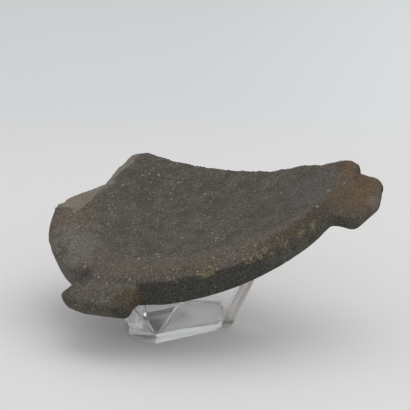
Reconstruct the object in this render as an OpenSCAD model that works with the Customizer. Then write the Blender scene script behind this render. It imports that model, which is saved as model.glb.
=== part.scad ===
// Broken round stone palette with two lugs, lying tilted on a clear plate stand.
// Millimetres. X runs along the stand's front edge, Y to the back and Z up from the table,
// with the origin in the middle of the stand's underside.

/* [Palette] */
// Radius of the outer rim edge
rim_r = 66; // [56:1:76]
// Width of the bevel between the rim's crest and its outer edge
bevel_w = 6.5; // [4:0.5:10]
// Height of the rim's crest above its outer edge
crest_h = 2.2; // [1:0.1:3]
// Depth of the dish below the crest
dish_depth = 6.5; // [4:0.5:8]
// Height of the side wall, midway between its tall and its low side
side_h = 7.8; // [7:0.1:10]
// How far the side wall draws in towards its foot
side_draft = 0.5; // [0:0.1:2]
// Bulge of the underside below the foot of the side wall
belly_depth = 5; // [3:0.5:8]
// Tilt of the underside against the rim, in degrees
belly_tilt = 3.9; // [2:0.1:4.5]
// Direction of the tall side wall, in degrees about the dish's axis
belly_dir = -150; // [-170:1:-130]
// Rounding of the rim's crest
crest_round = 8; // [4:0.5:8]
// Rounding of the outer rim edge
edge_round = 1.6; // [0.8:0.2:2.4]
// Rounding between the side wall and the underside
foot_round = 4.5; // [3:0.5:6]

/* [Lugs] */
// How far the left lug stands out past the rim edge
left_lug_reach = 11.5; // [8:0.5:15]
// How far the right lug stands out past the rim edge
right_lug_reach = 12.5; // [8:0.5:15]
// How far the middle of the right lug's tip stands out past its corners
right_lug_crown = 2; // [0:0.1:3]
// Thickness of the left lug
left_lug_t = 9.5; // [7:0.5:10]
// Thickness of the right lug
right_lug_t = 8.2; // [7:0.1:10]
// How far a lug's tip hangs below its root
lug_droop = 1.2; // [0:0.1:2]
// Width of the left lug across its tip
left_lug_w = 34.5; // [24:0.5:38]
// Direction of the left lug, in degrees about the dish's axis
left_lug_dir = -136.5; // [-142:0.5:-130]
// Width of the right lug across its tip
right_lug_w = 30; // [20:1:34]
// Direction of the right lug, in degrees about the dish's axis
right_lug_dir = -38.5; // [-44:0.5:-36]

/* [Break] */
// Right end of the main break, in the dish's plane
break_right = [61, -22.5]; // [-70:0.5:70]
// Peak where the main break ends
break_peak = [-16, 47.5]; // [-70:0.5:70]
// Crown of the broken edge beside the peak
break_crown = [-23, 51]; // [-70:0.5:70]
// Shoulder of the left break
break_shoulder = [-30.5, 45]; // [-70:0.5:70]
// Kink of the left break
break_kink = [-38, 33.5]; // [-70:0.5:70]
// Left end of the left break
break_left = [-58, 36.5]; // [-70:0.5:70]
// How far the main break bows in towards the middle
break_bow = 4; // [0:0.5:8]
// Left corner of the flake scar beside the left break
scar_start = [-51.5, 16]; // [-70:0.5:70]
// Direction in which the scar's inner edge runs
scar_dir = 42; // [36:0.5:48]
// Height of the scar's inner edge over the outer rim edge
scar_h = 0.1; // [-0.6:0.1:0.6]
// Slope of the scar towards the break, in degrees
scar_slope = 9; // [5:0.5:14]

/* [Pose on the stand] */
// Tilt of the palette
tilt = 21.5; // [15:0.5:25]
// Direction in which the palette rises, in degrees from X
rise_dir = 8; // [0:1:15]
// Turn of the palette about the dish's axis
spin = -33.6; // [-40:0.2:-28]
// Place of the dish's axis over the stand, along X and Y
palette_xy = [20.3, 12.7]; // [0:0.1:30]
// Height of the outer rim edge's plane over the table at the dish's axis
palette_z = 52; // [48:0.5:58]
// Gap between the stone and the arms that carry it
seat_gap = 0.3; // [0.2:0.05:0.5]

/* [Stand] */
// Thickness of the clear sheet
sheet = 4; // [3:0.5:5]
// Length of the stand's front edge, from its left corner to the outside of the right arm's foot
base_l = 35.7; // [33:0.1:44]
// Width of the base plate, front to back
base_w = 24; // [22:1:34]
// How far the base plate's left end comes to a point
base_point = 5; // [3:0.5:8]
// Direction of the base plate's right end, in degrees from its front edge
right_end_dir = 57; // [52:1:70]
// Outward lean of the arms and the lip, in degrees
arm_lean = 25; // [15:1:30]
// Width of the left arm at its foot
left_arm_w = 12.4; // [9:0.2:12.4]
// Width of the right arm
right_arm_w = 8; // [5:0.5:10]
// Width of the rear arm at its foot
rear_arm_w = 20; // [14:1:26]
// Least width of an arm, at which it stops drawing in
neck_w = 3; // [2:0.5:6]
// Distance from the base plate's left front corner to the front lip
lip_inset = 1.2; // [1:0.1:6]
// Distance from the right arm to the front lip, along the front edge
lip_gap = 2.2; // [0.4:0.1:4]
// Height of the front lip's left end over the base plate
lip_h = 15.4; // [8:0.2:18]
// Slope of the lip's top edge, down to the right, in degrees
lip_slope = 13; // [0:1:20]
// Angle by which the lip and the left arm draw in beside the corner between them
corner_taper = 25; // [15:1:30]
// Angle by which the lip and the left arm draw in on their other side
outer_taper = 15.5; // [0:0.5:20]
// Angle by which each side of the rear arm draws in
rear_taper = 12; // [0:1:14]
// Distance from the base plate's left front corner to the left arm
left_arm_inset = 0.4; // [0.2:0.1:1]

/* [Hidden] */
$fn = 180;

arc_steps = 12;
corner_steps = 5;
lug_facets = 28;
crest_r = rim_r - bevel_w;
foot_r = rim_r - side_draft;
belly_ball_r = ball_radius(foot_r, belly_depth);
belly_low = -side_h - belly_depth;
wall_low = belly_low - rim_r * sin(belly_tilt);
foot_wall_r = rim_r + foot_round / 3;
reach = 3 * rim_r;
end_angle = atan2(base_w / 2, -base_point);
mitre_dir = end_angle / 2;
foot_t = sheet / cos(arm_lean);
right_end_x = base_l / 2 + (sheet * tan(arm_lean) - foot_t) / sin(right_end_dir);

stone = [0.29, 0.27, 0.25];
clear = [0.85, 0.9, 0.92, 0.45];

// Radius of the ball whose cap has this half width and depth
function ball_radius(half_w, depth) = (half_w * half_w + depth * depth) / (2 * depth);

// Height of that cap over its lowest point, at a distance from its axis
function cap_h(r, half_w, depth) =
    let (ball = ball_radius(half_w, depth)) ball - sqrt(ball * ball - r * r);

function unit(v) = v / norm(v);
function bearing(v) = atan2(v.y, v.x);
function turn(from, to) = (to - from > 180) ? to - from - 360 : (to - from < -180) ? to - from + 360 : to - from;
function polar(r, angle) = r * [cos(angle), sin(angle)];

// Arc that rounds corner b between its neighbours a and c
function rounded(a, b, c, radius) =
    let (
        to_a = unit(a - b),
        to_c = unit(c - b),
        half = acos(to_a * to_c) / 2,
        centre = b + unit(to_a + to_c) * radius / sin(half),
        first = bearing(b + to_a * radius / tan(half) - centre),
        last = bearing(b + to_c * radius / tan(half) - centre)
    )
    [for (i = [0 : corner_steps]) centre + polar(radius, first + turn(first, last) * i / corner_steps)];

// Line from p to q that bows to its left in the middle
function bowed(p, q, bow) =
    let (side = unit([p.y - q.y, q.x - p.x]))
    [for (i = [0 : arc_steps]) let (t = i / arc_steps) p + (q - p) * t + side * bow * 4 * t * (1 - t)];

// Half section of the dish's upper side: hollow, crest, bevel and side wall
function upper_section() =
    let (
        crest = [crest_r, crest_h],
        edge = [rim_r, 0],
        foot = [rim_r + wall_low * side_draft / side_h, wall_low],
        hollow = [for (i = [0 : arc_steps - 1]) let (r = crest_r * i / arc_steps)
            [r, crest_h - dish_depth + cap_h(r, crest_r, dish_depth)]]
    )
    concat(
        hollow,
        rounded(hollow[arc_steps - 1], crest, edge, crest_round),
        rounded(crest, edge, foot, edge_round),
        [foot, [0, wall_low]]
    );

// Half section of the dish's lower side: rounded foot and bulged underside
function lower_section() =
    let (
        top = [foot_wall_r, rim_r],
        foot = [foot_wall_r, -side_h],
        belly = [for (i = [arc_steps - 1 : -1 : 0]) let (r = foot_r * i / arc_steps)
            [r, belly_low + cap_h(r, foot_r, belly_depth)]]
    )
    concat(
        [[0, rim_r], top],
        rounded(top, foot, belly[0], foot_round),
        belly
    );

// Tilts a shape on the dish's axis as the underside is tilted
module with_belly() {
    rotate([0, 0, belly_dir])
        rotate([0, belly_tilt, 0])
            rotate([0, 0, -belly_dir])
                children();
}

// Rounded tongue that stands out of the rim, furthest by its crown in the middle
module lug(dir, width, thick, out_by, crown) {
    ball = thick / 2;
    tip_r = rim_r + out_by - ball;
    swing = asin((width / 2 - ball) / tip_r);
    hull()
        for (side = [-1, 0, 1], out = [0, 1])
            rotate([0, 0, dir + side * swing])
                translate([out ? tip_r - abs(side) * crown : crest_r, 0, -ball - out * lug_droop])
                    sphere(ball, $fn = lug_facets);
}

// All that broke away behind the two breaks
module lost_piece() {
    line = concat(
        bowed(break_right, break_peak, break_bow),
        [break_crown, break_shoulder, break_kink, break_left]
    );
    away = [unit(break_left) * reach, [-reach, reach], [reach, reach], unit(break_right) * reach];
    translate([0, 0, -reach / 2])
        linear_extrude(reach)
            polygon(concat(line, away));
}

// Flake struck off the top along the left break
module lost_flake() {
    translate([scar_start.x, scar_start.y, scar_h])
        rotate([0, 0, scar_dir])
            rotate([-scar_slope, 0, 0])
                cube([reach, reach, reach]);
}

// Puts a shape from the dish's own frame to its tilted place over the stand
module on_stand() {
    translate([palette_xy.x, palette_xy.y, palette_z])
        rotate([0, 0, rise_dir])
            rotate([0, -tilt, 0])
                rotate([0, 0, spin])
                    children();
}

module stone_palette() {
    color(stone)
        on_stand()
            difference() {
                union() {
                    intersection() {
                        rotate_extrude()
                            polygon(upper_section());
                        with_belly()
                            rotate_extrude()
                                polygon(lower_section());
                    }
                    lug(left_lug_dir, left_lug_w, left_lug_t, left_lug_reach, 0);
                    lug(right_lug_dir, right_lug_w, right_lug_t, right_lug_reach, right_lug_crown);
                }
                lost_piece();
                lost_flake();
            }
}

// All that lies outside the right arm's inner face
module beyond_right_arm() {
    translate([base_l / 2, -base_w / 2, 0])
        rotate([0, 0, right_end_dir - 90])
            translate([-foot_t, 0, 0])
                rotate([0, arm_lean, 0])
                    translate([0, -reach, -reach])
                        cube(2 * reach);
}

// Six-sided plate with pointed ends, the right one cut to the lean of the arm that stands against it
module base_plate() {
    x = base_l / 2;
    y = base_w / 2;
    right_tip = x + y / tan(right_end_dir);
    color(clear)
        difference() {
            linear_extrude(sheet)
                polygon([[-x, -y], [x, -y], [right_tip, 0], [x, y], [-x, y], [-x - base_point, 0]]);
            beyond_right_arm();
        }
}

// Outline of a leaning plate's outer face, as [along its foot, height]. It draws in by one taper
// on each side until it's down to a neck, and then runs straight.
function plate_outline(width, tapers, height) =
    let (
        draw = [for (taper = tapers) tan(taper) / cos(arm_lean)],
        both = draw[0] + draw[1],
        neck_h = (both > 0) ? min(height, (width - neck_w) / both) : height,
        near = neck_h * draw[0] - width / 2,
        far = width / 2 - neck_h * draw[1]
    )
    [[-width / 2, 0], [width / 2, 0], [far, neck_h], [far, height], [near, height], [near, neck_h]];

// Plate that leans out from its foot, whose outer edge runs through [x, y] at the height foot_z,
// with its sides cut in the direction cut_dir
module leaning_plate(edge, facing, width, tapers, cut_dir, foot_z, height) {
    off = facing - cut_dir;
    cut = [for (p = plate_outline(width, tapers, height))
        [p.x * cos(off) + p.y * tan(arm_lean) * sin(off), p.y]];
    translate([edge.x, edge.y, foot_z])
        intersection() {
            rotate([0, 0, facing])
                translate([-foot_t / 2, 0, 0])
                    rotate([0, arm_lean, 0])
                        cube([sheet, 2 * reach, 2 * reach], center = true);
            rotate([0, 0, cut_dir])
                rotate([90, 0, 90])
                    linear_extrude(2 * reach, center = true)
                        polygon(cut);
        }
}

// Leaning plate cut off under the stone's bulged underside
module carrying_arm(edge, facing, width, tapers, cut_dir, foot_z) {
    color(clear)
        difference() {
            leaning_plate(edge, facing, width, tapers, cut_dir, foot_z, palette_z);
            on_stand()
                with_belly()
                    translate([0, 0, belly_low + belly_ball_r])
                        sphere(belly_ball_r + seat_gap);
        }
}

// Stands on the base plate's left end
module left_arm() {
    foot = [-base_l / 2, -base_w / 2] + polar(left_arm_inset + left_arm_w / 2, end_angle);
    carrying_arm(foot, 90 + end_angle, left_arm_w, [outer_taper, corner_taper], mitre_dir, sheet);
}

// Stands on the table, against the base plate's right end
module right_arm() {
    foot = [base_l / 2, -base_w / 2] + polar(right_arm_w / 2, right_end_dir);
    facing = right_end_dir - 90;
    carrying_arm(foot, facing, right_arm_w, [0, 0], facing, 0);
}

// Stands on the base plate's back edge
module rear_arm() {
    carrying_arm([0, base_w / 2], 90, rear_arm_w, [rear_taper, rear_taper], 90, sheet);
}

// Low plate along the front edge, between the feet of the left and the right arm
module front_lip() {
    left = -base_l / 2 + lip_inset;
    right = right_end_x - lip_gap;
    foot = [(left + right) / 2, -base_w / 2];
    color(clear)
        difference() {
            leaning_plate(foot, -90, right - left, [corner_taper, outer_taper], mitre_dir, sheet, lip_h);
            translate([left, 0, sheet + lip_h])
                rotate([0, lip_slope, 0])
                    translate([-reach, -reach, 0])
                        cube([2 * reach, 2 * reach, reach]);
        }
}

stone_palette();
base_plate();
left_arm();
right_arm();
rear_arm();
front_lip();
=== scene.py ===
# A broken round stone palette on its clear plate stand: the looks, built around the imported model.
import math
import random

import bmesh
import bpy
from mathutils import Euler, Matrix, Vector
from mathutils.kdtree import KDTree


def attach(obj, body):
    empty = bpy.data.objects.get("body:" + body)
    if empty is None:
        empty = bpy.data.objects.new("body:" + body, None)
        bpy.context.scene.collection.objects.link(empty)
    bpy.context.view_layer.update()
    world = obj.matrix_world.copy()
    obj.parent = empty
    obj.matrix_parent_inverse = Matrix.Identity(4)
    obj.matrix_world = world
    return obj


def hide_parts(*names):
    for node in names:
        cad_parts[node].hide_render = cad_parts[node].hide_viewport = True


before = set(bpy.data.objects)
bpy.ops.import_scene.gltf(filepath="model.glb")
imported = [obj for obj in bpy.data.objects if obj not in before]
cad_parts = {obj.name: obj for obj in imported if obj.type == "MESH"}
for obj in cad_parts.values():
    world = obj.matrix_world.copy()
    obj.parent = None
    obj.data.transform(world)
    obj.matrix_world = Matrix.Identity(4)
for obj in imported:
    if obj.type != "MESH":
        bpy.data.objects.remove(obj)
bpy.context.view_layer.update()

MM = 0.001
SEED = 11

# The dish's own frame: millimetres, x and y in the plane of the rim's edge, z along its axis.
DISH_AT = Vector((20.3, 12.7, 52.0)) * MM
DISH_TURN = (
    Matrix.Rotation(math.radians(8.0), 3, "Z")
    @ Matrix.Rotation(math.radians(-21.5), 3, "Y")
    @ Matrix.Rotation(math.radians(-33.6), 3, "Z")
)
INTO_DISH = DISH_TURN.transposed()

# The stone's main lines in that frame, with the lugs' bearings in degrees.
RIM_R = 66.0
CREST_R = 59.5
CREST_H = 2.2
DISH_DEPTH = 6.5
LEFT_LUG_DIR = -136.5
RIGHT_LUG_DIR = -38.5
BREAK_RIGHT = Vector((61.0, -22.5))
BREAK_PEAK = Vector((-16.0, 47.5))
SCAR_START = Vector((-51.5, 16.0))
SCAR_DIR = math.radians(42.0)
SCAR_LENGTH = 47.0

# The stand's arms lean out; the right one faces this way about Z.
ARM_LEAN = math.radians(25.0)
RIGHT_ARM_FACING = math.radians(-33.0)


def to_dish(point):
    """A point of the model, in the dish's frame and in millimetres."""
    return INTO_DISH @ (point - DISH_AT) / MM


def from_dish(point):
    """A point of the dish's frame, in the model and in metres."""
    return DISH_AT + DISH_TURN @ Vector(point) * MM


def on_rim(bearing, radius, height):
    """A point of the dish's frame at a bearing in degrees."""
    angle = math.radians(bearing)
    return Vector((radius * math.cos(angle), radius * math.sin(angle), height))


# Working with operators

DOUBLES = 0.002 * MM
FAINTEST_WEIGHT = 0.001


def pick(piece):
    bpy.ops.object.select_all(action="DESELECT")
    piece.select_set(True)
    bpy.context.view_layer.objects.active = piece


def solid_of(node_name, name):
    """A merged copy of a CAD node, to be worked on."""
    piece = bpy.data.objects.new(name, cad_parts[node_name].data.copy())
    bpy.context.scene.collection.objects.link(piece)
    piece.data.name = name
    piece.data.materials.clear()
    pick(piece)
    bpy.ops.object.mode_set(mode="EDIT")
    bpy.ops.mesh.select_all(action="SELECT")
    bpy.ops.mesh.remove_doubles(threshold=DOUBLES)
    bpy.ops.object.mode_set(mode="OBJECT")
    return piece


def apply_modifier(piece, kind, **settings):
    pick(piece)
    modifier = piece.modifiers.new(kind.lower(), kind)
    for key, value in settings.items():
        setattr(modifier, key, value)
    bpy.ops.object.modifier_apply(modifier=modifier.name)


def step(low, high, value):
    """Smooth step from 0 at low to 1 at high."""
    t = min(max((value - low) / (high - low), 0.0), 1.0)
    return t * t * (3.0 - 2.0 * t)


def at_vertices(piece, rule):
    """What a rule makes of each vertex's place and normal in the dish's frame."""
    return [rule(to_dish(v.co), INTO_DISH @ v.normal) for v in piece.data.vertices]


def weigh(piece, name, rule):
    """A vertex group whose weights come from a rule."""
    group = piece.vertex_groups.new(name=name)
    for index, weight in enumerate(at_vertices(piece, rule)):
        if weight > FAINTEST_WEIGHT:
            group.add([index], min(weight, 1.0), "REPLACE")
    return group.name


def keep_as_attribute(piece, name, rule):
    """A rule's values, kept on the vertices for the material."""
    attribute = piece.data.attributes.new(name, "FLOAT", "POINT")
    attribute.data.foreach_set("value", at_vertices(piece, rule))


def soften(piece, rounds, group=""):
    apply_modifier(piece, "SMOOTH", factor=0.5, iterations=rounds, vertex_group=group)


def roughen(piece, group, size, strength, depth=2):
    """Moves a surface in and out by a cloudy texture, with size and strength in millimetres."""
    texture = bpy.data.textures.new(f"{piece.name}_{group}_{size}", "CLOUDS")
    texture.noise_basis = "ORIGINAL_PERLIN"
    texture.noise_scale = size * MM
    texture.noise_depth = depth
    apply_modifier(
        piece, "DISPLACE", texture=texture, texture_coords="LOCAL",
        strength=strength * MM, vertex_group=group,
    )


def press(piece, dents):
    """Pushes the surface at each place, with a soft fall-off.

    A dent is (place, push, radius), all in the dish's millimetres.
    """
    pick(piece)
    tree = KDTree(len(piece.data.vertices))
    for vertex in piece.data.vertices:
        tree.insert(vertex.co, vertex.index)
    tree.balance()
    bpy.ops.object.mode_set(mode="EDIT")
    bpy.ops.mesh.select_mode(type="VERT")
    for place, push, radius in dents:
        nearest = tree.find(from_dish(place))[1]
        bpy.ops.mesh.select_all(action="DESELECT")
        edited = bmesh.from_edit_mesh(piece.data)
        edited.verts.ensure_lookup_table()
        edited.verts[nearest].select = True
        edited.select_flush(True)
        bpy.ops.transform.translate(
            value=DISH_TURN @ Vector(push) * MM, use_proportional_edit=True,
            proportional_edit_falloff="SMOOTH", proportional_size=radius * MM,
        )
    bpy.ops.object.mode_set(mode="OBJECT")


# Shader nodes

# Scratches from wiping are long one way and fine across it.
SCRATCH_TURN = (0.3, 0.5, 0.9)
SCRATCH_SCALE = (40.0, 900.0, 900.0)


def node(tree, kind, inputs=None, **settings):
    made = tree.nodes.new(kind)
    for key, value in settings.items():
        setattr(made, key, value)
    for key, value in (inputs or {}).items():
        if isinstance(value, bpy.types.NodeSocket):
            tree.links.new(value, made.inputs[key])
        else:
            made.inputs[key].default_value = value
    return made


def calc(tree, operation, a, b, clamp=False):
    made = node(tree, "ShaderNodeMath", {0: a, 1: b}, operation=operation, use_clamp=clamp)
    return made.outputs[0]


def band(tree, value, low, high, start=0.0, end=1.0):
    """Smooth change from start to end while value goes from low to high."""
    made = node(
        tree, "ShaderNodeMapRange",
        {"Value": value, "From Min": low, "From Max": high, "To Min": start, "To Max": end},
        interpolation_type="SMOOTHSTEP",
    )
    return made.outputs["Result"]


def blend_colour(tree, factor, a, b, mode="MIX"):
    made = node(
        tree, "ShaderNodeMix", {0: factor, 6: a, 7: b}, data_type="RGBA", blend_type=mode,
    )
    return made.outputs[2]


def noise(tree, place, scale, detail, roughness=0.55):
    made = node(
        tree, "ShaderNodeTexNoise",
        {"Vector": place, "Scale": scale, "Detail": detail, "Roughness": roughness},
    )
    return made.outputs["Fac"]


def new_group(name, inputs, outputs):
    """An empty shader node group with its named sockets."""
    group = bpy.data.node_groups.new(name, "ShaderNodeTree")
    for label, kind in inputs:
        group.interface.new_socket(name=label, in_out="INPUT", socket_type=kind)
    for label, kind in outputs:
        group.interface.new_socket(name=label, in_out="OUTPUT", socket_type=kind)
    given = group.nodes.new("NodeGroupInput").outputs
    put = group.nodes.new("NodeGroupOutput").inputs
    return group, given, put


def use_group(tree, group, inputs):
    return node(tree, "ShaderNodeGroup", inputs, node_tree=group).outputs


def flecks_group():
    """Scattered crystals: one in some cells of a given size, each a small round spot."""
    group, given, put = new_group(
        "stone_flecks",
        [
            ("Place", "NodeSocketVector"), ("Cell", "NodeSocketFloat"),
            ("Spot", "NodeSocketFloat"), ("Share", "NodeSocketFloat"),
        ],
        [("Mask", "NodeSocketFloat")],
    )
    place = node(group, "ShaderNodeVectorMath", {0: given["Place"]}, operation="SCALE")
    group.links.new(calc(group, "DIVIDE", 1.0, given["Cell"]), place.inputs["Scale"])
    cells = node(
        group, "ShaderNodeTexVoronoi", {"Vector": place.outputs[0], "Scale": 1.0}, feature="F1",
    )
    chance = node(group, "ShaderNodeSeparateColor", {0: cells.outputs["Color"]})
    spot = calc(group, "MULTIPLY", given["Spot"], calc(group, "ADD", chance.outputs[1], 0.5))
    inside = calc(group, "SUBTRACT", spot, cells.outputs["Distance"])
    shown = calc(group, "LESS_THAN", chance.outputs[0], given["Share"])
    soft = calc(group, "MULTIPLY", calc(group, "DIVIDE", inside, spot), 2.5, clamp=True)
    group.links.new(calc(group, "MULTIPLY", soft, shown), put["Mask"])
    return group


def stain_group():
    """A soft patch around a point, with an uneven edge."""
    group, given, put = new_group(
        "stone_stain",
        [
            ("Place", "NodeSocketVector"), ("Centre", "NodeSocketVector"),
            ("Size", "NodeSocketFloat"), ("Uneven", "NodeSocketFloat"),
        ],
        [("Mask", "NodeSocketFloat")],
    )
    away = node(
        group, "ShaderNodeVectorMath", {0: given["Place"], 1: given["Centre"]},
        operation="DISTANCE",
    )
    far = calc(group, "DIVIDE", away.outputs["Value"], given["Size"])
    cloud = calc(group, "SUBTRACT", noise(group, given["Place"], 0.22, 4.0, 0.6), 0.5)
    uneven = calc(group, "MULTIPLY", cloud, calc(group, "MULTIPLY", given["Uneven"], 2.0))
    group.links.new(band(group, calc(group, "ADD", far, uneven), 1.05, 0.45), put["Mask"])
    return group


def handling_group():
    """Faint smears and dust on a polished surface, and the fine scratches of wiping."""
    group, given, put = new_group(
        "handling_marks",
        [("Place", "NodeSocketVector"), ("Scale", "NodeSocketFloat")],
        [("Smear", "NodeSocketFloat"), ("Scratch", "NodeSocketFloat")],
    )
    smear = noise(group, given["Place"], given["Scale"], 4.0, 0.6)
    group.links.new(band(group, smear, 0.4, 0.7), put["Smear"])
    stretched = node(
        group, "ShaderNodeMapping",
        {"Vector": given["Place"], "Rotation": SCRATCH_TURN, "Scale": SCRATCH_SCALE},
    )
    lines = noise(group, stretched.outputs[0], 1.0, 2.0, 0.5)
    group.links.new(band(group, lines, 0.6, 0.75), put["Scratch"])
    return group


FLECKS = flecks_group()
STAIN = stain_group()
HANDLING = handling_group()


def new_material(name):
    material = bpy.data.materials.new(name)
    material.use_nodes = True
    tree = material.node_tree
    shader = next(n for n in tree.nodes if n.type == "BSDF_PRINCIPLED")
    return material, tree, shader


# The stone's finish

GREY = (0.108, 0.096, 0.078, 1.0)
GREY_DARK = (0.069, 0.061, 0.050, 1.0)
# Cooler tone for the painted reflection on the dish's right.
REFLECTION_COOL = (0.092, 0.088, 0.082, 1.0)
GREY_PALE = (0.146, 0.133, 0.114, 1.0)
CREST_WARM = (0.138, 0.107, 0.079, 1.0)
LUG_WARM = (0.124, 0.103, 0.090, 1.0)
# Dark skin with painted shade for the side wall and underside; also the dark specks and the painted
# shade in the lug's groove.
DARK_SKIN_AND_SHADE = (0.040, 0.039, 0.034, 1.0)
# Lighter painted shade, in patches on the right side wall.
SKIN_LESS_SHADED = (0.071, 0.067, 0.054, 1.0)
RUST = (0.126, 0.077, 0.046, 1.0)
RUST_OLIVE = (0.086, 0.067, 0.044, 1.0)
BROWN = (0.062, 0.050, 0.034, 1.0)
SOIL = (0.068, 0.052, 0.032, 1.0)
OCHRE = (0.230, 0.178, 0.105, 1.0)
FRESH = (0.220, 0.190, 0.154, 1.0)
CRYSTAL = (0.44, 0.42, 0.38, 1.0)

# Patches on the stone: bearing, radius and height of the middle, size, unevenness of the edge.
STAINS = {
    "reflection_on_dish": (-37.0, 53.0, 1.5, 17.0, 0.5),
    "plain_crest": (-46.0, 57.0, 1.0, 32.0, 0.5),
    "warm_left": (172.0, 56.0, 0.0, 20.0, 0.9),
    "pale_left": (-168.0, 65.0, 0.0, 22.0, 0.6),
    "brown_right": (-60.0, 63.0, 0.0, 28.0, 0.7),
    "worn_left_wall": (-162.0, 66.0, -5.0, 26.0, 0.5),
    "worn_left_lug": (LEFT_LUG_DIR - 4.0, 76.0, -5.0, 19.0, 0.5),
    "worn_right_lug": (RIGHT_LUG_DIR, 76.0, -5.0, 17.0, 0.5),
    "less_shaded_right_wall": (-60.0, 66.0, -5.0, 26.0, 0.7),
    "rusty_right_lug": (RIGHT_LUG_DIR + 1.5, 71.5, -1.0, 17.0, 0.6),
    "rusty_rim_end": (-24.0, 63.5, 0.5, 8.0, 0.7),
    "pale_right_tip": (RIGHT_LUG_DIR - 0.7, 77.8, -3.1, 4.0, 0.5),
    "soil_on_root": (-125.3, 72.3, -1.6, 6.0, 0.8),
    "soil_under_root": (-123.2, 71.5, -6.0, 6.0, 0.8),
    "warm_left_lug": (LEFT_LUG_DIR - 2.0, 72.0, -1.0, 17.0, 0.7),
    "shade_in_lug_groove": (LEFT_LUG_DIR - 10.0, 66.3, -1.0, 5.5, 0.5),
    "bruise_near": (141.8, 50.2, -0.5, 4.2, 0.5),
    "bruise_far": (137.0, 49.2, -0.5, 3.6, 0.5),
}

# Worn yellowish places on the rim's outer edge: bearing and size.
RUBBED_AT = ((-98.8, 4.6), (-84.0, 2.6), (-78.6, 5.0), (-71.0, 2.6), (-63.7, 2.4), (-58.8, 2.2))
RUBBED_R = 65.3
RUBBED_H = -0.5
RUBBED_UNEVEN = 0.9


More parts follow.
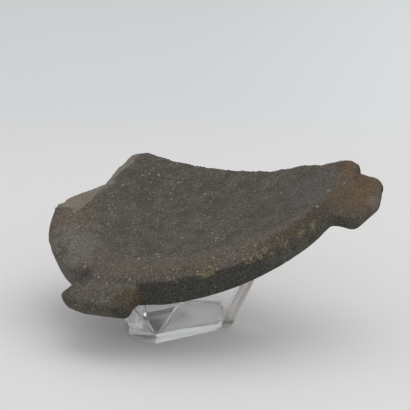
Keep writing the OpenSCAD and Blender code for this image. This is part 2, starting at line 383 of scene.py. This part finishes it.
def stone_material():
    material, tree, shader = new_material("ground_dark_stone")
    own = node(tree, "ShaderNodeTexCoord").outputs["Object"]
    place = node(
        tree, "ShaderNodeMapping",
        {
            "Vector": own, "Location": DISH_AT, "Rotation": DISH_TURN.to_euler("XYZ"),
            "Scale": (MM, MM, MM),
        },
        vector_type="TEXTURE",
    ).outputs[0]
    axes = node(tree, "ShaderNodeSeparateXYZ", {0: place}).outputs
    flat = node(tree, "ShaderNodeCombineXYZ", {0: axes[0], 1: axes[1]}).outputs[0]
    radius = node(tree, "ShaderNodeVectorMath", {0: flat}, operation="LENGTH").outputs["Value"]
    broken, fresh, worked = (
        node(tree, "ShaderNodeAttribute", attribute_name=name).outputs["Fac"]
        for name in ("broken", "fresh", "worked")
    )

    def patch(centre, size, uneven):
        inputs = {"Place": place, "Centre": centre, "Size": size, "Uneven": uneven}
        return use_group(tree, STAIN, inputs)["Mask"]

    def stain(name):
        bearing, away, height, size, uneven = STAINS[name]
        return patch(on_rim(bearing, away, height), size, uneven)

    def flecks(cell, spot, share):
        inputs = {"Place": place, "Cell": cell, "Spot": spot, "Share": share}
        return use_group(tree, FLECKS, inputs)["Mask"]

    def times(a, b):
        return calc(tree, "MULTIPLY", a, b)

    def any_of(*masks):
        joined = masks[0]
        for mask in masks[1:]:
            joined = calc(tree, "MAXIMUM", joined, mask)
        return joined

    def weaker_on(mask, rest):
        """1 away from a mask, down to rest where it is full."""
        return band(tree, mask, 0.0, 1.0, 1.0, rest)

    def paint(mask, tone, mode="MIX"):
        nonlocal colour
        colour = blend_colour(tree, mask, colour, tone, mode)

    mottle = noise(tree, place, 0.16, 5.0, 0.62)
    grain = noise(tree, place, 1.5, 3.0, 0.75)
    patches = noise(tree, place, 0.45, 3.0, 0.6)
    colour = blend_colour(tree, band(tree, mottle, 0.33, 0.67), GREY_DARK, GREY)
    # A cooler tone where the dish rises at the right: a painted reflection of the room's light.
    paint(times(stain("reflection_on_dish"), 0.8), REFLECTION_COOL)

    # The crest is worn to a warmer tone in patches, most of all at the left, where the rim is pale.
    crest = times(band(tree, radius, 46.0, 58.0), band(tree, radius, 65.5, 61.0))
    crest = times(crest, band(tree, patches, 0.36, 0.6, 0.15, 0.75))
    paint(times(crest, weaker_on(stain("plain_crest"), 0.25)), CREST_WARM)
    paint(times(stain("warm_left"), band(tree, patches, 0.42, 0.58, 0.1, 0.8)), CREST_WARM)
    paint(times(stain("pale_left"), 0.8), GREY_PALE)

    # A brown line runs inside the outer edge, strongest at the right.
    line = times(band(tree, radius, 58.5, 62.5), band(tree, radius, 67.0, 65.0))
    spread = any_of(stain("brown_right"), band(tree, mottle, 0.5, 0.62, 0.0, 0.6))
    paint(times(times(line, spread), 0.9), BROWN)

    # Side wall and underside keep their dark skin, painted darker still as shade on these faces
    # that turn from the top. It is worn off the lugs and beside the left one.
    skin = times(calc(tree, "SUBTRACT", 1.0, worked), calc(tree, "SUBTRACT", 1.0, broken))
    worn = any_of(
        stain("worn_left_wall"), stain("worn_left_lug"), times(stain("worn_right_lug"), 0.6),
    )
    skin = times(skin, weaker_on(worn, 0.3))
    paint(times(skin, 0.92), DARK_SKIN_AND_SHADE)
    # Painted light: the shade painted on the right side wall is lighter in patches.
    lighter = times(stain("less_shaded_right_wall"), band(tree, patches, 0.36, 0.6, 0.35, 1.0))
    paint(times(skin, lighter), SKIN_LESS_SHADED)

    # The outer edge is rubbed to ochre in places.
    rubbed = any_of(*(
        patch(on_rim(bearing, RUBBED_R, RUBBED_H), size, RUBBED_UNEVEN)
        for bearing, size in RUBBED_AT
    ))
    edge = times(band(tree, radius, 63.0, 65.0), band(tree, mottle, 0.52, 0.66, 0.0, 0.35))
    rubbed = any_of(rubbed, times(edge, worked))
    rubbed = times(rubbed, times(band(tree, axes[2], -2.6, -1.0), band(tree, radius, 62.0, 64.5)))
    spots = times(
        band(tree, grain, 0.36, 0.64, 0.2, 0.65), band(tree, patches, 0.40, 0.56, 0.2, 1.0),
    )
    paint(times(rubbed, spots), OCHRE)

    # Iron stain on the right lug and the rim's end, with a pale place at the lug's tip.
    rust = any_of(stain("rusty_right_lug"), stain("rusty_rim_end"))
    clouds = band(tree, noise(tree, place, 0.24, 4.0, 0.6), 0.36, 0.62)
    tone = blend_colour(tree, clouds, RUST_OLIVE, RUST)
    paint(times(rust, band(tree, worked, 0.1, 0.8, 0.45, 0.95)), tone)
    paint(times(stain("pale_right_tip"), 0.55), GREY_PALE)

    # Soil in the near root of the left lug, a warm top on it, and painted shade in the groove at
    # its far root.
    paint(times(any_of(stain("soil_on_root"), stain("soil_under_root")), 0.95), SOIL)
    lug_bloom = times(stain("warm_left_lug"), worked)
    paint(times(lug_bloom, band(tree, patches, 0.36, 0.6, 0.2, 0.8)), LUG_WARM)
    paint(times(stain("shade_in_lug_groove"), 0.7), DARK_SKIN_AND_SHADE)

    # Broken faces are rougher and paler, the flake scar and the bruised edge beside it most of all.
    paint(times(broken, band(tree, patches, 0.35, 0.65, 0.2, 0.6)), FRESH)
    scar = times(fresh, band(tree, mottle, 0.36, 0.62, 0.7, 1.0))
    bruise = any_of(stain("bruise_near"), stain("bruise_far"))
    paint(any_of(scar, times(bruise, 0.8)), FRESH)

    # The stone's grain, weaker on the scar and under the rust, and its dark specks.
    shown = times(weaker_on(fresh, 0.45), weaker_on(rust, 0.55))
    paint(shown, band(tree, grain, 0.34, 0.66, 0.50, 1.52), "MULTIPLY")
    dark = flecks(1.7, 0.26, 0.45)
    paint(times(dark, 0.45), DARK_SKIN_AND_SHADE)

    # Pale crystals, a few large ones and many small ones, fewer on the skin and at the right.
    bare = times(weaker_on(skin, 0.4), band(tree, axes[0], -5.0, 45.0, 1.0, 0.5))
    for cell, spot, share, strength in (
        (9.0, 0.062, 0.4, 0.95), (3.2, 0.135, 0.55, 0.52), (1.5, 0.26, 0.45, 0.28),
    ):
        paint(times(times(flecks(cell, spot, share), bare), strength), CRYSTAL)
    tree.links.new(colour, shader.inputs["Base Color"])

    rough = band(tree, mottle, 0.3, 0.7, 0.68, 0.82)
    rough = any_of(rough, times(any_of(broken, skin), 0.9))
    tree.links.new(rough, shader.inputs["Roughness"])
    shader.inputs["Specular IOR Level"].default_value = 0.2

    relief = calc(tree, "ADD", times(grain, 0.6), times(noise(tree, place, 4.0, 2.0), 0.3))
    relief = calc(tree, "SUBTRACT", relief, times(dark, 0.35))
    bump = node(
        tree, "ShaderNodeBump", {"Height": relief, "Strength": 0.6, "Distance": 0.25 * MM},
    )
    tree.links.new(bump.outputs["Normal"], shader.inputs["Normal"])
    return material


# The stand's finish

ACRYLIC_IOR = 1.49
CLEAR = (0.962, 0.968, 0.962, 1.0)
CLEAR_SMEARED = (0.932, 0.944, 0.938, 1.0)
SAWN_PALE = (0.80, 0.77, 0.74, 1.0)
SAWN_DARK = (0.46, 0.44, 0.42, 1.0)
CEMENT_DARK = (0.20, 0.19, 0.18, 1.0)
SMEAR_SCALE = 70.0
SMEAR_ROUGHNESS = 0.05
SCRATCH_ROUGHNESS = 0.08
# Width and length of a saw mark, and the heights between which the cement line shows.
SAW_MARK = (1.1 * MM, 14.0 * MM)
SEAM_BOTTOM = (1.2 * MM, 1.6 * MM)
SEAM_TOP = (3.0 * MM, 2.6 * MM)


def polished_tint(tree, marks):
    return blend_colour(tree, marks["Smear"], CLEAR, CLEAR_SMEARED)


def sawn_tint(tree, own):
    """Grey saw marks along the right arm, and the dark cement line over its foot."""
    width, length = SAW_MARK
    along = node(
        tree, "ShaderNodeMapping",
        {
            "Vector": own, "Rotation": (0.0, ARM_LEAN, RIGHT_ARM_FACING),
            "Scale": (width, width, length),
        },
        vector_type="TEXTURE",
    ).outputs[0]
    streaks = band(tree, noise(tree, along, 1.0, 3.0, 0.6), 0.36, 0.64)
    tint = blend_colour(tree, streaks, SAWN_PALE, SAWN_DARK)
    height = node(tree, "ShaderNodeSeparateXYZ", {0: own}).outputs[2]
    seam = calc(tree, "MULTIPLY", band(tree, height, *SEAM_BOTTOM), band(tree, height, *SEAM_TOP))
    return blend_colour(tree, calc(tree, "MULTIPLY", seam, 0.85), tint, CEMENT_DARK)


def acrylic_material(name, roughness, clearness, let_through, sawn=False):
    material, tree, shader = new_material(name)
    own = node(tree, "ShaderNodeTexCoord").outputs["Object"]
    marks = use_group(tree, HANDLING, {"Place": own, "Scale": SMEAR_SCALE})
    tint = sawn_tint(tree, own) if sawn else polished_tint(tree, marks)
    tree.links.new(tint, shader.inputs["Base Color"])
    smeared = calc(tree, "MULTIPLY", marks["Smear"], SMEAR_ROUGHNESS)
    scratched = calc(tree, "MULTIPLY", marks["Scratch"], SCRATCH_ROUGHNESS)
    rough = calc(tree, "ADD", calc(tree, "ADD", smeared, scratched), roughness)
    tree.links.new(rough, shader.inputs["Roughness"])
    bump = node(
        tree, "ShaderNodeBump",
        {"Height": marks["Scratch"], "Strength": 0.1, "Distance": 0.02 * MM},
    )
    tree.links.new(bump.outputs["Normal"], shader.inputs["Normal"])
    shader.inputs["IOR"].default_value = ACRYLIC_IOR
    shader.inputs["Transmission Weight"].default_value = clearness
    # Clear sheet throws a weak shadow: its faces let most light straight through, its edges less.
    passing = node(
        tree, "ShaderNodeBsdfTransparent",
        {"Color": (let_through, let_through, let_through, 1.0)},
    )
    shadow = node(tree, "ShaderNodeLightPath").outputs["Is Shadow Ray"]
    mixed = node(
        tree, "ShaderNodeMixShader", {0: shadow, 1: shader.outputs[0], 2: passing.outputs[0]},
    )
    output = next(n for n in tree.nodes if n.type == "OUTPUT_MATERIAL")
    tree.links.new(mixed.outputs[0], output.inputs["Surface"])
    return material


# The stone

STONE_VOXEL = 0.6 * MM
EDGE_DENTS = 34
BREAK_DENTS = 14
SCAR_DENTS = 15
# Degrees to each side of a lug that stay free of the edge's dents.
LUG_CLEAR = 15.0
# How far the rounding of the crest takes it down, and how wide it reaches.
CREST_WEAR = 0.35
CREST_WEAR_REACH = 2.2

# Single knocks and swellings: place, push and reach in the dish's millimetres.
SINGLE_KNOCKS = (
    # Right lug: its end notched, the groove behind it filled, the rim's end and the lug's far side
    # raised, its near root sunk
    (on_rim(-31.3, 76.4, -6.4), on_rim(-31.3, -2.0, 0.0), 2.8),
    (on_rim(-28.8, 67.8, -0.5), (0.0, 0.0, 1.7), 4.0),
    (on_rim(-22.5, 62.0, 1.0), (0.0, 0.0, 1.2), 6.0),
    (on_rim(-30.5, 71.5, -1.2), (0.0, 0.0, 1.5), 7.0),
    (on_rim(-46.4, 70.0, -1.0), (0.0, 0.0, -0.7), 5.0),
    # Left lug: near root pushed back, far corner drawn out and up, lower edge brought down
    (on_rim(-124.3, 71.5, -8.8), (-1.3, 0.2, 0.3), 6.0),
    (on_rim(-148.6, 75.8, -4.2), (-0.6, 0.3, 0.8), 4.0),
    (on_rim(-141.5, 75.7, -9.3), (-0.2, -0.1, -0.6), 7.0),
    # Main break bowed out at the right, left corner raised, peak drawn out
    ((39.0, -7.0, 0.0), (1.0, 1.1, 0.5), 14.0),
    ((-59.5, 28.5, -1.5), (-0.3, 0.3, 1.7), 6.0),
    ((-21.0, 48.5, -0.5), (-0.3, 0.9, 0.6), 8.0),
)


def ground_height(radius):
    """Height of the ground surface, from the dish over the crest to the bevel."""
    ball = (CREST_R ** 2 + DISH_DEPTH ** 2) / (2.0 * DISH_DEPTH)
    dish = CREST_H - DISH_DEPTH + ball - math.sqrt(ball ** 2 - min(radius, CREST_R) ** 2)
    bevel = CREST_H * min((RIM_R - radius) / (RIM_R - CREST_R), 1.0)
    worn = CREST_WEAR * math.exp(-(((radius - CREST_R) / CREST_WEAR_REACH) ** 2))
    return min(dish, bevel) - worn


def along_scar(place):
    """How far a place lies along the scar's inner edge, and how far behind it."""
    from_start = Vector((place.x, place.y)) - SCAR_START
    return (
        from_start.x * math.cos(SCAR_DIR) + from_start.y * math.sin(SCAR_DIR),
        from_start.y * math.cos(SCAR_DIR) - from_start.x * math.sin(SCAR_DIR),
    )


def broken_weight(place, normal):
    """1 on the two breaks: steep faces well inside the rim's circle, on the dish's far side."""
    radius = math.hypot(place.x, place.y)
    steep = step(0.75, 0.45, abs(normal.z))
    outward = normal.x * place.x + normal.y * place.y
    facing_in = step(63.5, 62.0, radius) if outward > 0 else 1.0
    behind = step(-26.0, -22.0, place.y)
    return steep * facing_in * behind


def scar_weight(place, normal):
    """1 where the top has lost a flake along the left break."""
    along, behind = along_scar(place)
    lost = ground_height(math.hypot(place.x, place.y)) - place.z
    near = step(-6.0, -3.0, behind) * step(-6.0, -3.0, along)
    return near * step(0.28, 0.52, lost) * step(0.2, 0.5, normal.z)


def fracture_weight(place, normal):
    """1 on the breaks, half on the scar."""
    return max(broken_weight(place, normal), scar_weight(place, normal) * 0.5)


def worked_weight(place, normal):
    """1 on the ground upper side, 0 on the side wall and the underside."""
    return step(0.35, 0.75, normal.z)


def skin_weight(place, normal):
    """1 all over, less on the underside."""
    return 1.0 - 0.7 * step(-0.6, -0.9, normal.z)


def lug_weight(place, normal):
    """1 on the lugs and the rim beside them."""
    bearing = math.degrees(math.atan2(place.y, place.x))
    near = max(step(20.0, 14.0, abs(bearing - lug)) for lug in (LEFT_LUG_DIR, RIGHT_LUG_DIR))
    return near * step(61.5, 65.0, math.hypot(place.x, place.y))


def lug_root_weight(place, normal):
    """1 in the hollows where the lugs grow out of the rim."""
    return lug_weight(place, normal) * step(73.0, 68.5, math.hypot(place.x, place.y))


def knocks():
    """Dents of wear on the rim, the main break and the scar's edge, then the single knocks."""
    draw = random.Random(SEED)
    dents = []
    for _ in range(EDGE_DENTS):
        bearing = draw.uniform(-178.0, -24.0)
        if min(abs(bearing - LEFT_LUG_DIR), abs(bearing - RIGHT_LUG_DIR)) > LUG_CLEAR:
            deep = draw.uniform(0.15, 0.5)
            inward = on_rim(bearing, -deep, -0.3 * deep)
            dents.append((on_rim(bearing, RIM_R, -0.4), inward, draw.uniform(1.6, 4.0)))
    for _ in range(BREAK_DENTS):
        edge = BREAK_RIGHT.lerp(BREAK_PEAK, draw.uniform(0.06, 0.9))
        inward = Vector((-0.67, -0.74, -0.3)) * draw.uniform(0.1, 0.35)
        dents.append(((edge.x, edge.y, 0.0), inward, draw.uniform(2.0, 5.0)))
    for i in range(SCAR_DENTS):
        reach = SCAR_LENGTH * (i + draw.uniform(0.1, 0.9)) / SCAR_DENTS
        back = draw.uniform(-0.6, 0.8)
        place = (
            SCAR_START.x + reach * math.cos(SCAR_DIR) - back * math.sin(SCAR_DIR),
            SCAR_START.y + reach * math.sin(SCAR_DIR) + back * math.cos(SCAR_DIR),
            0.0,
        )
        dents.append((place, (0.0, 0.0, -draw.uniform(0.1, 0.35)), draw.uniform(1.4, 2.6)))
    dents.extend(SINGLE_KNOCKS)
    return dents


def stone_palette():
    piece = solid_of("stone_palette", "palette_stone")
    apply_modifier(piece, "REMESH", mode="VOXEL", voxel_size=STONE_VOXEL)
    soften(piece, 3)
    soften(piece, 10, weigh(piece, "lugs", lug_weight))
    soften(piece, 40, weigh(piece, "lug_roots", lug_root_weight))
    press(piece, knocks())
    keep_as_attribute(piece, "broken", broken_weight)
    keep_as_attribute(piece, "fresh", scar_weight)
    keep_as_attribute(piece, "worked", worked_weight)

    breaks = weigh(piece, "breaks", fracture_weight)
    skin = weigh(piece, "skin", skin_weight)
    roughen(piece, skin, size=16.0, strength=0.7, depth=1)
    roughen(piece, breaks, size=5.0, strength=0.9)
    roughen(piece, breaks, size=1.6, strength=0.15)
    roughen(piece, skin, size=1.1, strength=0.18)
    piece.vertex_groups.clear()
    bpy.ops.object.shade_smooth()
    piece.data.materials.append(stone_material())
    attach(piece, "palette")
    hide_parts("stone_palette")


# The stand

CEMENT = 0.04 * MM
EDGE_BREAK = 0.28 * MM
# Faces within FLAT of each other are one; edges over SHARP are broken; shading is smooth to ROUND.
FLAT = math.radians(2.0)
SHARP = math.radians(25.0)
ROUND = math.radians(30.0)
SAME_WAY = 0.99
DOWN = Vector((0.0, 0.0, -1.0))
# The base plate's right end looks out and down, against the leaning right arm.
BASE_END = Euler((0.0, ARM_LEAN, RIGHT_ARM_FACING)).to_matrix() @ Vector((1.0, 0.0, 0.0))


def clear_plate(node_name, name, faces, edges, bonded):
    """A plate of the stand with its edges broken.

    On its bonded side, if it has one, it is drawn back by a hairline of cement.
    """
    piece = solid_of(node_name, name)
    piece.data.materials.append(faces)
    piece.data.materials.append(edges)
    bpy.ops.object.mode_set(mode="EDIT")
    bpy.ops.mesh.select_all(action="SELECT")
    bpy.ops.mesh.dissolve_limited(angle_limit=FLAT)
    bpy.ops.mesh.select_all(action="DESELECT")
    bpy.ops.mesh.select_mode(type="FACE")
    bpy.ops.object.mode_set(mode="OBJECT")
    # The two largest faces are the sheet's own, the others are cut edges.
    by_area = sorted(piece.data.polygons, key=lambda face: face.area)
    for face in by_area[:-2]:
        face.material_index = 1
    if bonded:
        for face in piece.data.polygons:
            face.select = face.normal.dot(bonded) > SAME_WAY
        bpy.ops.object.mode_set(mode="EDIT")
        bpy.ops.transform.translate(value=-CEMENT * bonded)
        bpy.ops.object.mode_set(mode="OBJECT")
    apply_modifier(
        piece, "BEVEL", width=EDGE_BREAK, segments=2,
        limit_method="ANGLE", angle_limit=SHARP,
    )
    bpy.ops.object.shade_smooth_by_angle(angle=ROUND)
    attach(piece, "stand")
    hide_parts(node_name)


def stand():
    face = acrylic_material(
        "clear_acrylic_face", roughness=0.01, clearness=0.82, let_through=0.97,
    )
    polished = acrylic_material(
        "clear_acrylic_polished_edge", roughness=0.04, clearness=0.92, let_through=0.92,
    )
    sawn = acrylic_material(
        "clear_acrylic_sawn_edge", roughness=0.28, clearness=0.75, let_through=0.6, sawn=True,
    )
    clear_plate("base_plate", "stand_base", face, polished, BASE_END)
    clear_plate("left_arm", "stand_left_arm", face, polished, DOWN)
    clear_plate("right_arm", "stand_right_arm", face, sawn, None)
    clear_plate("rear_arm", "stand_rear_arm", face, polished, DOWN)
    clear_plate("front_lip", "stand_front_lip", face, polished, DOWN)


# The studio

VIEW_HEADING = math.radians(33.8)
VIEW_PITCH = math.radians(75.0)
VIEW_ANGLE = math.radians(14.0)
CAMERA_AT = (-0.3450, -0.53512, 0.22152)

TABLE_SIZE = 8.0
TABLE_GAP = 0.2 * MM
TABLE = (0.812, 0.796, 0.786, 1.0)
TABLE_LIGHT = (0.834, 0.817, 0.807, 1.0)
# Far table tones: painted shade at the left, painted light at the right.
TABLE_BACK_SHADED = (0.755, 0.760, 0.766, 1.0)
TABLE_BACK_LIT = (0.845, 0.862, 0.866, 1.0)
ROOM = (0.97, 0.985, 1.0, 1.0)
ROOM_STRENGTH = 0.60

# Soft lamps, all aimed at the middle of the table: place, size in metres, power in watts.
LAMPS = {
    "overhead_softbox": ((0.55, -0.30, 1.40), 2.0, 9.2),
    "front_fill": ((-3.60, -5.70, 2.40), 5.4, 139.5),
}


def table():
    bpy.ops.object.select_all(action="DESELECT")
    bpy.ops.mesh.primitive_plane_add(size=TABLE_SIZE)
    floor = bpy.context.active_object
    floor.name = "pale_floor"
    floor.location.z = -TABLE_GAP
    material, tree, shader = new_material("pale_table")
    own = node(tree, "ShaderNodeTexCoord").outputs["Object"]
    tint = blend_colour(tree, noise(tree, own, 1.5, 2.0), TABLE, TABLE_LIGHT)
    # Further back the table is cooler, and painted darker at the left and lighter at the right as
    # shade and light fall across it.
    turned = node(
        tree, "ShaderNodeMapping", {"Vector": own, "Rotation": (0.0, 0.0, VIEW_HEADING)},
    ).outputs[0]
    across, back, _ = node(tree, "ShaderNodeSeparateXYZ", {0: turned}).outputs
    far = blend_colour(tree, band(tree, across, -0.02, 0.24), TABLE_BACK_SHADED, TABLE_BACK_LIT)
    tint = blend_colour(tree, band(tree, back, 0.22, 0.48), tint, far)
    tree.links.new(tint, shader.inputs["Base Color"])
    shader.inputs["Roughness"].default_value = 0.55
    floor.data.materials.append(material)


def room_light():
    world = bpy.data.worlds.new("soft_room")
    world.use_nodes = True
    sky = world.node_tree.nodes["Background"]
    sky.inputs["Color"].default_value = ROOM
    sky.inputs["Strength"].default_value = ROOM_STRENGTH
    bpy.context.scene.world = world
    for name, (place, size, power) in LAMPS.items():
        lamp = bpy.data.lights.new(name, "AREA")
        lamp.size = size
        lamp.energy = power
        light = bpy.data.objects.new(name, lamp)
        light.location = place
        light.rotation_euler = (-Vector(place)).to_track_quat("-Z", "Y").to_euler()
        bpy.context.scene.collection.objects.link(light)


def photo_view():
    lens = bpy.data.cameras.new("photo_view")
    lens.sensor_fit = "HORIZONTAL"
    lens.angle = VIEW_ANGLE
    camera = bpy.data.objects.new("photo_view", lens)
    camera.location = CAMERA_AT
    camera.rotation_euler = Euler((VIEW_PITCH, 0.0, -VIEW_HEADING))
    bpy.context.scene.collection.objects.link(camera)
    bpy.context.scene.camera = camera
    bpy.context.scene.view_settings.view_transform = "Standard"


stone_palette()
stand()
table()
room_light()
photo_view()
